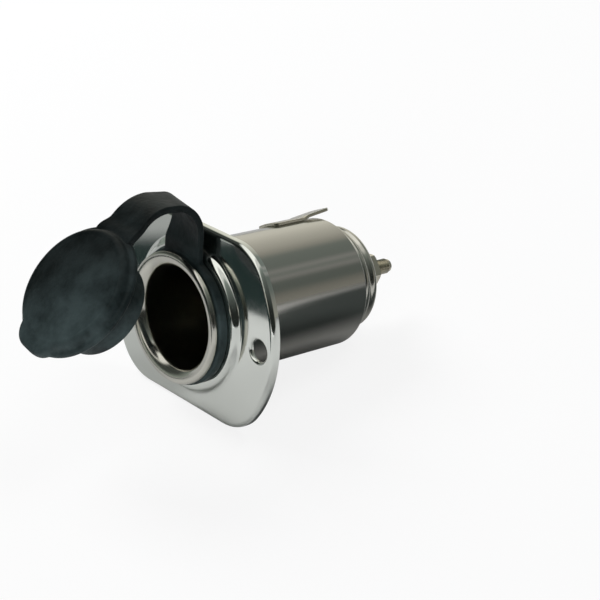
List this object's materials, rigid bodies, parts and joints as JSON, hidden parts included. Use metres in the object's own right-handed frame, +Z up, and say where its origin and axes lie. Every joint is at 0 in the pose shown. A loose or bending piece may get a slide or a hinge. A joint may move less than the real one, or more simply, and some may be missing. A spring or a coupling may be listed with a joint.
{
  "type": "12 v panel power socket",
  "caption": "Panel-mounted 12 V power socket: flared metal cup in a clamp sleeve, pressed face plate, rubber dust cap on a strap, rear stud and earth tab.",
  "frame": {"origin": "centre of the panel cut-out, on the bore axis in the plane of the panel's face", "axes": "+Y along the bore axis into the panel, towards the stud; the open front faces -Y; X through the two screw holes; +Z up through the strap of the cover"},
  "size_m": [0.0532, 0.0972, 0.0466],
  "materials": {
    "polished_steel": "polished stainless sheet",
    "plated_cup": "bright nickel plate",
    "brushed_sleeve": "satin, brushed along its length",
    "cover_rubber": "matte moulded rubber",
    "insulator": "phenolic sheet",
    "brass": "plain brass",
    "plated_hardware": "dull nickel plate"
  },
  "bodies": {
    "socket": {"face_plate": "polished_steel", "socket_cup": "plated_cup", "clamp_sleeve": "brushed_sleeve", "cover_ring": "cover_rubber", "contact_disc": "insulator", "centre_contact": "brass", "centre_stud": "plated_hardware", "stud_insulator": "insulator", "flat_washer": "plated_hardware", "lock_washer": "plated_hardware", "stud_nut": "plated_hardware", "earth_tab": "plated_hardware"},
    "strap": {"cover_strap": "cover_rubber"},
    "cap": {"cover_cap": "cover_rubber"}
  },
  "joints": [
    {"name": "strap_lift", "type": "hinge", "parent": "socket", "child": "strap", "pos_m": [0, -0.0041, 0.0165], "axis": [-1, 0, 0], "range_deg": [0, 45], "deforming": ["cover_strap"]},
    {"name": "cap_swing", "type": "hinge", "parent": "strap", "child": "cap", "pos_m": [0, -0.00332, 0.03682], "axis": [-1, 0, 0], "range_deg": [-38.2, 20], "deforming": ["cover_strap"]}
  ]
}
